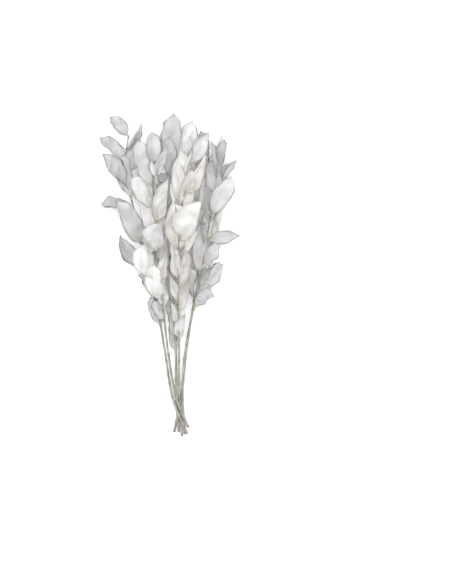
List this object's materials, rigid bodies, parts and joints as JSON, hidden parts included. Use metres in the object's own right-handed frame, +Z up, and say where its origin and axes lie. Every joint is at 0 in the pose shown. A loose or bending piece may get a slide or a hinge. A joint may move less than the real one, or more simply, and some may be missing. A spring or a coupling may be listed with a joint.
{
  "type": "preserved ruscus stem bunch",
  "caption": "Gathered bunch of bleached preserved ruscus stems with pointed oval leaves and bare crossing stalks, lying down, for dried flower arrangements.",
  "frame": {"origin": "on the surface that the bunch lies on, under the middle of the box round it", "axes": "+Y from the cut ends to the leaf tips, +X across the bunch, +Z up from the surface"},
  "size_m": [0.2454, 0.569, 0.1251],
  "materials": {
    "leaf": "matte",
    "stalk": "matte"
  },
  "bodies": {
    "root": {"far_left_stem": "leaf", "left_stem": "leaf", "centre_stem": "leaf", "centre_right_stem": "leaf", "right_stem": "leaf", "far_right_stem": "leaf"}
  },
  "joints": []
}
